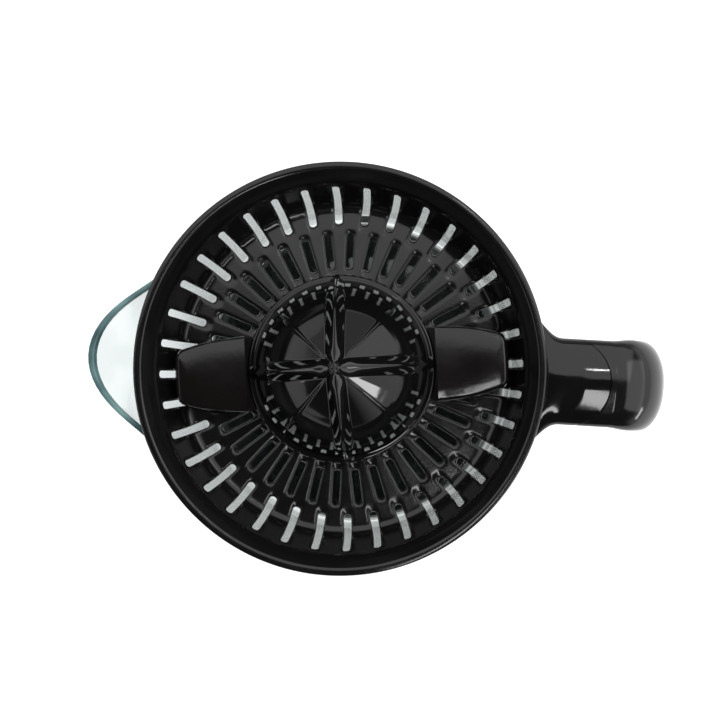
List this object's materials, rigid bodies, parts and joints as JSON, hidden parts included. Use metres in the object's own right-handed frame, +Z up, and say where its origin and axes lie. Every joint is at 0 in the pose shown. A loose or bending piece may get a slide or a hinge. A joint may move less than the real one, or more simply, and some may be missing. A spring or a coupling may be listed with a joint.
{
  "type": "citrus press juicer",
  "caption": "Electric citrus press: ribbed reaming cone over a slotted sieve, clear spouted jug with a side handle, motor base below.",
  "frame": {"origin": "on the drive axis, at the flat underside of the base plate's hub, level with the feet", "axes": "+Z up along the drive axis, +X towards the handle, the pouring spout on -X"},
  "size_m": [0.2265, 0.1598, 0.211],
  "materials": {
    "black_plastic": "gloss moulded",
    "smoke_plastic": "high gloss",
    "satin_grip": "satin",
    "clear_plastic": "polished clear",
    "rubber": "matte",
    "acetal": "smooth",
    "grey_plastic": "moulded",
    "switch_plastic": "moulded",
    "steel": "brushed",
    "brass": "turned",
    "copper": "enamelled wire"
  },
  "bodies": {
    "base": {"base_housing": "black_plastic", "base_plate": "black_plastic", "foot_1": "rubber", "foot_2": "rubber", "foot_3": "rubber", "foot_4": "rubber", "base_screw_1": "steel", "base_screw_2": "steel", "base_screw_3": "steel", "base_screw_4": "steel", "cord_gland": "rubber", "gear_plate": "grey_plastic", "plate_screw_1": "steel", "plate_screw_2": "steel", "plate_screw_3": "steel", "motor_core": "steel", "motor_coil": "copper", "motor_bracket": "steel", "motor_bush_upper": "brass", "motor_bush_lower": "brass", "motor_screw_1": "steel", "motor_screw_2": "steel", "first_axle": "steel", "second_axle": "steel", "thrust_washer": "brass", "lower_bush": "brass", "upper_bush": "brass", "spindle_seal": "rubber", "switch_body": "switch_plastic", "terminal_block": "acetal", "lead_supply": "rubber", "lead_switch": "rubber", "lead_motor": "rubber"},
    "output_gear": {"output_gear": "acetal", "return_spring": "steel"},
    "second_gear": {"second_gear": "acetal"},
    "first_gear": {"first_gear": "acetal"},
    "rotor": {"rotor": "steel"},
    "spindle": {"drive_spindle": "steel"},
    "small_cone": {"small_cone": "smoke_plastic"},
    "large_cone": {"large_cone": "smoke_plastic"},
    "switch_lever": {"switch_lever": "steel"},
    "jug": {"jug": "clear_plastic", "handle_frame": "black_plastic", "handle_grip": "satin_grip", "grip_screw_1": "steel", "grip_screw_2": "steel"},
    "sieve": {"sieve": "smoke_plastic"}
  },
  "joints": [
    {"name": "output_spin", "type": "hinge", "parent": "base", "child": "output_gear", "pos_m": [0, 0, 0.05], "axis": [0, 0, 1], "continuous": true},
    {"name": "second_gear_spin", "type": "hinge", "parent": "base", "child": "second_gear", "pos_m": [0, 0.0325, 0.05], "axis": [0, 0, 1], "continuous": true},
    {"name": "first_gear_spin", "type": "hinge", "parent": "base", "child": "first_gear", "pos_m": [-0.02255, 0.02429, 0.05], "axis": [0, 0, 1], "continuous": true},
    {"name": "rotor_spin", "type": "hinge", "parent": "base", "child": "rotor", "pos_m": [-0.02433, 0.00397, 0.05], "axis": [0, 0, 1], "continuous": true},
    {"name": "spindle_press", "type": "slide", "parent": "output_gear", "child": "spindle", "axis": [0, 0, -1], "range_m": [0, 0.003], "stiffness_N_per_m": 1500, "springref_m": -0.004, "deforming": ["return_spring"]},
    {"name": "small_cone_lift", "type": "slide", "parent": "spindle", "child": "small_cone", "axis": [0, 0, 1], "range_m": [0, 0.195]},
    {"name": "large_cone_lift", "type": "slide", "parent": "small_cone", "child": "large_cone", "axis": [0, 0, 1], "range_m": [0, 0.06]},
    {"name": "switch_lever_tilt", "type": "hinge", "parent": "base", "child": "switch_lever", "pos_m": [0.0375, 0, 0.0421], "axis": [0, -1, 0], "range_deg": [0, 5]},
    {"name": "jug_lift", "type": "slide", "parent": "base", "child": "jug", "axis": [0, 0, 1], "range_m": [0, 0.11]},
    {"name": "sieve_lift", "type": "slide", "parent": "jug", "child": "sieve", "axis": [0, 0, 1], "range_m": [0, 0.04]}
  ],
  "couplings": [
    {"joint": "second_gear_spin", "follows": "output_spin", "ratio": -3.3333},
    {"joint": "first_gear_spin", "follows": "output_spin", "ratio": 12.667},
    {"joint": "rotor_spin", "follows": "output_spin", "ratio": -59.111},
    {"joint": "switch_lever_tilt", "follows": "spindle_press", "rad_per_m": 26.667},
    {"joint": "sieve_lift", "follows": "jug_lift", "ratio": 0.35},
    {"joint": "small_cone_lift", "follows": "jug_lift", "ratio": 1.75}
  ]
}
